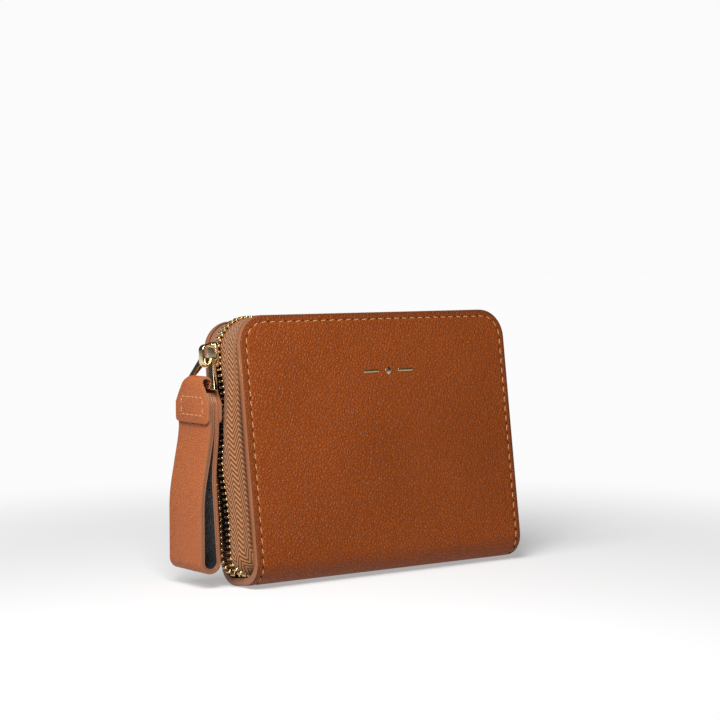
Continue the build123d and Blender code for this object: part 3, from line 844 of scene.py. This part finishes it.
# Zip teeth and stops. Stamped metal, clamped on the tapes' edges, the two rows set half a
# pitch apart so that they mesh. The stops are plain crimps.
for side, out in (("front", -1), ("back", 1)):
    teeth = finished(f"{side}_zip_teeth", f"{side}_teeth", tooth_gold, 0.28 * mm, rides=False)
    for vertex in teeth.data.vertices:
        x, z = vertex.co.x, vertex.co.z
        vertex.co.x += tuck_under(x, z) - bow_out(x, z)
    stops = finished(f"{side}_zip_stops", f"{side}_stops", tooth_gold, 0.25 * mm, rides=False)
    flex_with_cover(teeth)
    flex_with_cover(stops)


# Slider. A cast body with an arched bridge, and the flat trapezoid puller that hangs in it,
# all tumbled smooth before plating.
finished("slider_body", "cast_slider", polished_gold, 0.35 * mm, 4)
finished("slider_bridge", "cast_bridge", polished_gold, 0.35 * mm, 4)
finished("puller_frame", "flat_puller", polished_gold, 0.18 * mm, 3)


# Strap and tab. A loop of finer leather lined in black, its ends glued together inside a
# folded tab that holds the puller's bar. All edges are painted; the tab is box stitched.
strap_leather = leather(
    "strap_leather", (0.405, 0.115, 0.037), (0.360, 0.097, 0.029), 0.7, 0.4, 0.5, 0.46, 0.4
)
backing_leather = leather(
    "backing_leather", (0.034, 0.035, 0.039), (0.020, 0.020, 0.022), 0.8, 0.5, 0.9, 0.36, 0.2
)
swing_joint = next(j for j in frame["joints"] if j["name"] == "strap_swing")
tab_across = Vector(swing_joint["axis"]).normalized()
tab_down = Vector((1, 0, 0)).cross(tab_across) * -1
bar = Vector(swing_joint["pos_m"])


def paint_edges(piece):
    """Puts edge paint on the faces that look sideways, at the cut edges."""
    piece.data.materials.append(edge_paint)
    for face in piece.data.polygons:
        if abs(face.normal.dot(tab_across)) > 0.6:
            face.material_index = 1


for node, name, material, slot_name in (
    ("strap_leather", "strap_skin", strap_leather, "strap_leather"),
    ("strap_lining", "strap_backing", backing_leather, "lining"),
    ("tab_leather", "folded_tab", strap_leather, "strap_leather"),
):
    piece = finished(node, name, material, 0.22 * mm, 3)
    paint_edges(piece)

tab_stitch = one_stitch("tab_stitch", 2.5 * mm, 0.55 * mm)
box_half, box_top, box_low = 7.4 * mm, 4.2 * mm, 10.9 * mm
tab_low, tab_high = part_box("tab_leather")
box_places = []
for face_x, out in ((tab_low.x, Vector((-1, 0, 0))), (tab_high.x, Vector((1, 0, 0)))):
    for i in range(5):
        across = box_half * (i - 2) / 2.5
        for down in (box_top, box_low):
            box_places.append((face_x, out, across, down, tab_across))
    for i in range(2):
        down = box_top + (box_low - box_top) * (i + 0.5) / 2
        for across in (-box_half, box_half):
            box_places.append((face_x, out, across, down, tab_down))
tab_places = []
for face_x, out, across, down, along in box_places:
    spot = bar + tab_across * across + tab_down * down
    spot.x = face_x
    turned = Matrix((along, out.cross(along), out)).transposed().to_4x4()
    tab_places.append(Matrix.Translation(spot - out * 0.05 * mm) @ turned)
tab_row = sew("tab_stitches", tab_stitch, tab_places, thread)
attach(tab_row, "strap")
bpy.data.objects.remove(tab_stitch)


# Foil ornament. A plain lozenge between two bars, stamped into the front cover in gold
# foil, its edges barely softened.
finished("foil_ornament", "stamped_foil", foil_gold, 0.05 * mm)


# Inside. Card pockets of thin smooth leather on both covers, and a zipped coin pocket of
# black cloth between them, held to the covers by pleated gussets.
pocket_leather = leather(
    "pocket_leather", (0.36, 0.135, 0.050), (0.27, 0.092, 0.034), 0.45, 0.5, 0.3, 0.5, 0.3
)
for side in ("front", "back"):
    for level in (1, 2):
        node, name = f"{side}_card_pocket_{level}", f"{side}_pocket_{level}"
        finished(node, name, pocket_leather, 0.2 * mm)
    finished(f"coin_pocket_{side}", f"coin_wall_{side}", lining_cloth, 0.15 * mm)
finished("coin_pocket_gusset", "coin_gusset", lining_cloth, 0.15 * mm)
for word in ("upper", "lower"):
    finished(f"coin_zip_{word}_tape", f"coin_tape_{word}", lining_cloth, 0.12 * mm)
    finished(f"coin_zip_{word}_teeth", f"coin_teeth_{word}", tooth_gold, 0.12 * mm)
finished("coin_zip_stops", "coin_stops", tooth_gold, 0.15 * mm)
finished("coin_slider", "coin_slider_cast", polished_gold, 0.2 * mm)
finished("coin_puller", "coin_pull", polished_gold, 0.15 * mm)

for side, body, out in (("front", "front_cover", -1), ("back", "back_cover", 1)):
    for end in ("left", "right"):
        node = f"{side}_{end}_gusset"
        pleat = finished(node, f"{side}_{end}_pleat", lining_cloth, 0.12 * mm, rides=False)
        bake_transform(pleat)


# Boards. Grey bonded board stiffens the covers and the spine, hidden between the hide and
# the lining.
grey_board, board_tree, board_shader = new_material("grey_board", 0.9, Specular_IOR_Level=0.2)
fibres = noise(board_tree, 1200.0, 5.0).outputs["Fac"]
board_colour = mixed(board_tree, fibres, (0.14, 0.11, 0.08, 1), (0.26, 0.21, 0.16, 1))
board_tree.links.new(board_colour, board_shader.inputs["Base Color"])
for node in ("front_board", "back_board", "spine_filler"):
    frame["nodes"][node].data.materials.clear()
    frame["nodes"][node].data.materials.append(grey_board)
